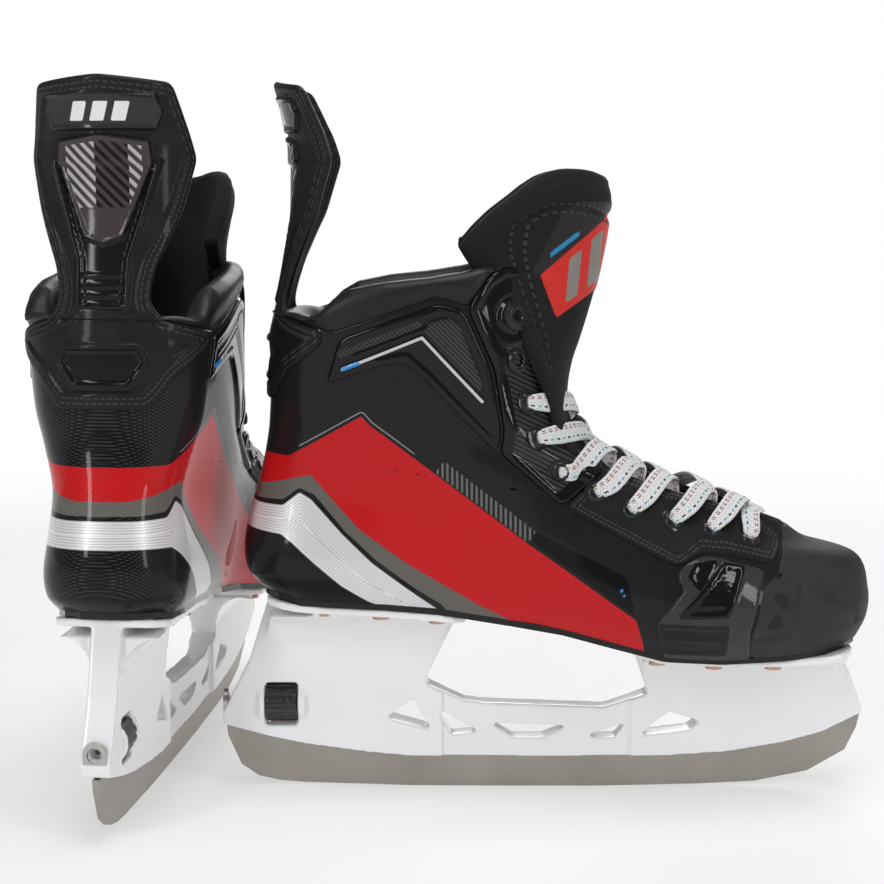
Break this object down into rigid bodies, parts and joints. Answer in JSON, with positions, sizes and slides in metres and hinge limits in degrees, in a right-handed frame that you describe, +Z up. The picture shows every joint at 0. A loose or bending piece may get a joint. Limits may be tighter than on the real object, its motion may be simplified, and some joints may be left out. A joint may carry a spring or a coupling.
{
  "type": "ice hockey skates",
  "caption": "Pair of lace-up ice hockey skates: moulded boots with padded collars, white holders and steel runners with a thumbwheel lock.",
  "frame": {"origin": "centre of the bounding box of the pair, on the surface that the runners stand on", "axes": "+X along the right skate towards its toe, +Z up; the left skate stands beside it, turned 84 degrees to the left"},
  "size_m": [0.3737, 0.2915, 0.318],
  "materials": {
    "shell": "carbon weave under clear coat",
    "cap": "fine-grained matte",
    "cap_trim": "satin",
    "sole": "glossy",
    "footbed": "woven top cloth",
    "collar": "soft synthetic leather",
    "tongue": "brushed felt",
    "red_trim": "woven band",
    "facing": "textured",
    "eyelet": "black",
    "gloss_trim": "moulded gloss",
    "guard": "textured with sewn edge",
    "badge": "satin",
    "lace": "waxed flat weave",
    "holder": "gloss white",
    "rivet": "copper",
    "steel": "ground",
    "wheel": "knurled",
    "bolt": "turned"
  },
  "bodies": {
    "boots": {"right_boot_shell": "shell", "right_toe_cap": "cap", "right_toe_plugs": "cap_trim", "right_outsole": "sole", "right_footbed": "footbed", "right_liner": "collar", "right_tongue_lower": "tongue", "right_facings": "facing", "right_eyelets": "eyelet", "right_ankle_panels": "gloss_trim", "right_side_panels": "gloss_trim", "right_tendon_guard_base": "guard", "right_lace": "lace", "right_lace_coils": "lace", "right_holder": "holder", "right_rivets": "rivet", "right_lock_plate": "bolt", "left_boot_shell": "shell", "left_toe_cap": "cap", "left_toe_plugs": "cap_trim", "left_outsole": "sole", "left_footbed": "footbed", "left_liner": "collar", "left_tongue_lower": "tongue", "left_facings": "facing", "left_eyelets": "eyelet", "left_ankle_panels": "gloss_trim", "left_side_panels": "gloss_trim", "left_tendon_guard_base": "guard", "left_lace": "lace", "left_lace_coils": "lace", "left_holder": "holder", "left_rivets": "rivet", "left_lock_plate": "bolt"},
    "right_runner": {"right_runner": "steel"},
    "right_wheel": {"right_lock_wheel": "wheel"},
    "right_bolt": {"right_lock_bolt": "bolt"},
    "right_tongue_top": {"right_tongue_upper": "tongue", "right_tongue_shield": "red_trim"},
    "right_guard_top": {"right_tendon_guard": "guard", "right_guard_badge": "badge"},
    "left_runner": {"left_runner": "steel"},
    "left_wheel": {"left_lock_wheel": "wheel"},
    "left_bolt": {"left_lock_bolt": "bolt"},
    "left_tongue_top": {"left_tongue_upper": "tongue", "left_tongue_shield": "red_trim"},
    "left_guard_top": {"left_tendon_guard": "guard", "left_guard_badge": "badge"}
  },
  "joints": [
    {"name": "right_runner_drop", "type": "slide", "parent": "boots", "child": "right_runner", "axis": [0, 0, -1], "range_m": [0, 0.0045]},
    {"name": "right_wheel_turn", "type": "hinge", "parent": "boots", "child": "right_wheel", "pos_m": [-0.081, -0.0625, 0.04], "axis": [1, 0, 0], "range_deg": [0, 270]},
    {"name": "right_bolt_slide", "type": "slide", "parent": "boots", "child": "right_bolt", "axis": [-1, 0, 0], "range_m": [0, 0.0045]},
    {"name": "right_tongue_flex", "type": "hinge", "parent": "boots", "child": "right_tongue_top", "pos_m": [0.066, -0.0625, 0.24], "axis": [0, 1, 0], "range_deg": [0, 30], "stiffness_Nm_per_rad": 0.6},
    {"name": "right_guard_flex", "type": "hinge", "parent": "boots", "child": "right_guard_top", "pos_m": [-0.082, -0.0625, 0.23], "axis": [0, -1, 0], "range_deg": [0, 20], "stiffness_Nm_per_rad": 2},
    {"name": "left_runner_drop", "type": "slide", "parent": "boots", "child": "left_runner", "axis": [0, 0, -1], "range_m": [0, 0.0045]},
    {"name": "left_wheel_turn", "type": "hinge", "parent": "boots", "child": "left_wheel", "pos_m": [-0.14865, -0.11884, 0.04], "axis": [0.1045, 0.9945, 0], "range_deg": [0, 270]},
    {"name": "left_bolt_slide", "type": "slide", "parent": "boots", "child": "left_bolt", "axis": [-0.1045, -0.9945, 0], "range_m": [0, 0.0045]},
    {"name": "left_tongue_flex", "type": "hinge", "parent": "boots", "child": "left_tongue_top", "pos_m": [-0.13328, 0.02736, 0.24], "axis": [-0.9945, 0.1045, 0], "range_deg": [0, 30], "stiffness_Nm_per_rad": 0.6},
    {"name": "left_guard_flex", "type": "hinge", "parent": "boots", "child": "left_guard_top", "pos_m": [-0.14875, -0.11983, 0.23], "axis": [0.9945, -0.1045, 0], "range_deg": [0, 20], "stiffness_Nm_per_rad": 2}
  ],
  "couplings": [
    {"joint": "right_wheel_turn", "follows": "right_runner_drop", "rad_per_m": 1047.2},
    {"joint": "right_bolt_slide", "follows": "right_runner_drop", "ratio": 1},
    {"joint": "left_wheel_turn", "follows": "left_runner_drop", "rad_per_m": 1047.2},
    {"joint": "left_bolt_slide", "follows": "left_runner_drop", "ratio": 1}
  ]
}
